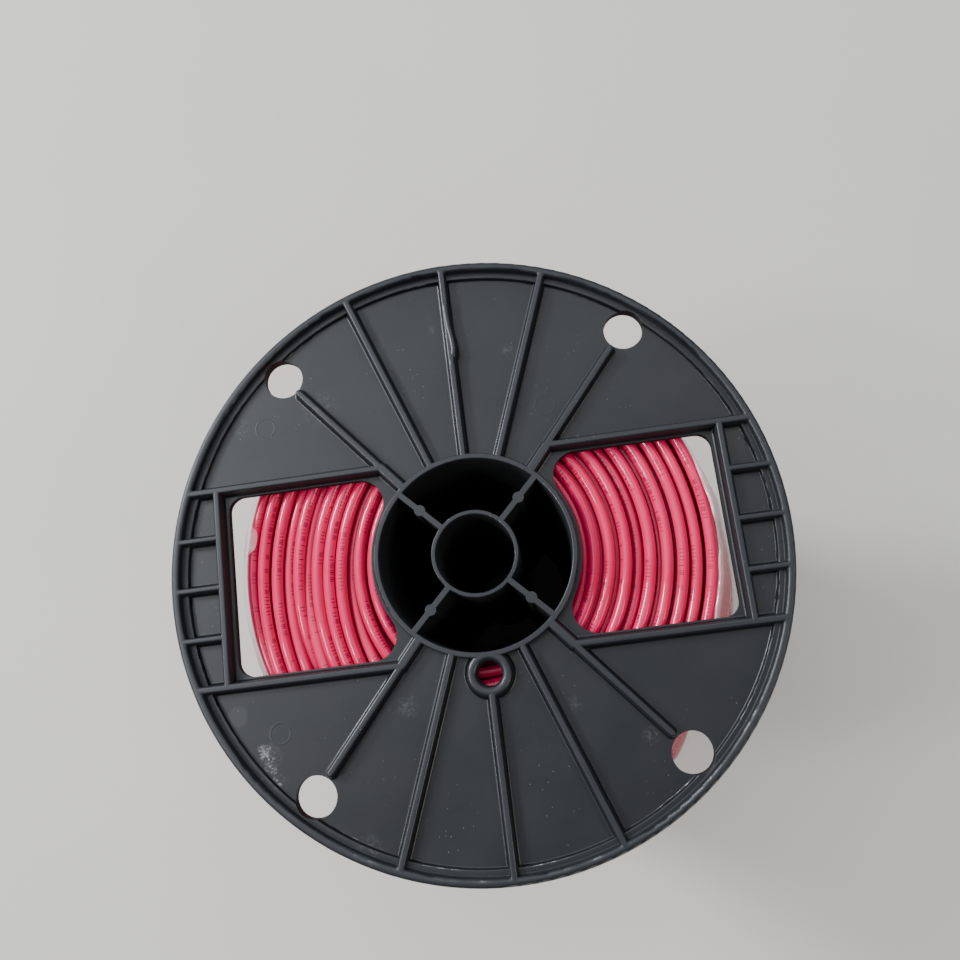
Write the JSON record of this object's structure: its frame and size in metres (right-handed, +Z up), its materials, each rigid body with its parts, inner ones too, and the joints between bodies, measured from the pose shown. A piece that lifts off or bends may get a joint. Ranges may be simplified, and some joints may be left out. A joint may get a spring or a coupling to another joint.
{
  "type": "wire reel",
  "caption": "Black moulded plastic reel with windowed, ribbed flanges, wound with pink-red insulated copper building wire under clear stretch film.",
  "frame": {"origin": "centre of the lower flange's outer face, on the reel's axis", "axes": "+Z up along the reel's axis, X through the windows of both flanges, -Y towards the start holes"},
  "size_m": [0.165, 0.165, 0.1575],
  "materials": {
    "reel_plastic": "satin moulded, lightly dusty",
    "wire_jacket": "glossy clear nylon over coloured insulation",
    "wire_insulation": "smooth coloured insulation",
    "nylon_skin": "thin clear glossy skin",
    "bare_copper": "bright bare copper, freshly cut",
    "clear_film": "clear stretch film, wrinkled"
  },
  "bodies": {
    "root": {"upper_reel_half": "reel_plastic", "lower_reel_half": "reel_plastic", "wire_winding": "wire_jacket", "wire_end_nylon_jacket": "nylon_skin", "wire_end_insulation": "wire_insulation", "stretch_wrap": "clear_film", "wire_end_strand_centre": "bare_copper", "wire_end_strand_inner_01": "bare_copper", "wire_end_strand_inner_02": "bare_copper", "wire_end_strand_inner_03": "bare_copper", "wire_end_strand_inner_04": "bare_copper", "wire_end_strand_inner_05": "bare_copper", "wire_end_strand_inner_06": "bare_copper", "wire_end_strand_outer_01": "bare_copper", "wire_end_strand_outer_02": "bare_copper", "wire_end_strand_outer_03": "bare_copper", "wire_end_strand_outer_04": "bare_copper", "wire_end_strand_outer_05": "bare_copper", "wire_end_strand_outer_06": "bare_copper", "wire_end_strand_outer_07": "bare_copper", "wire_end_strand_outer_08": "bare_copper", "wire_end_strand_outer_09": "bare_copper", "wire_end_strand_outer_10": "bare_copper", "wire_end_strand_outer_11": "bare_copper", "wire_end_strand_outer_12": "bare_copper"}
  },
  "joints": []
}
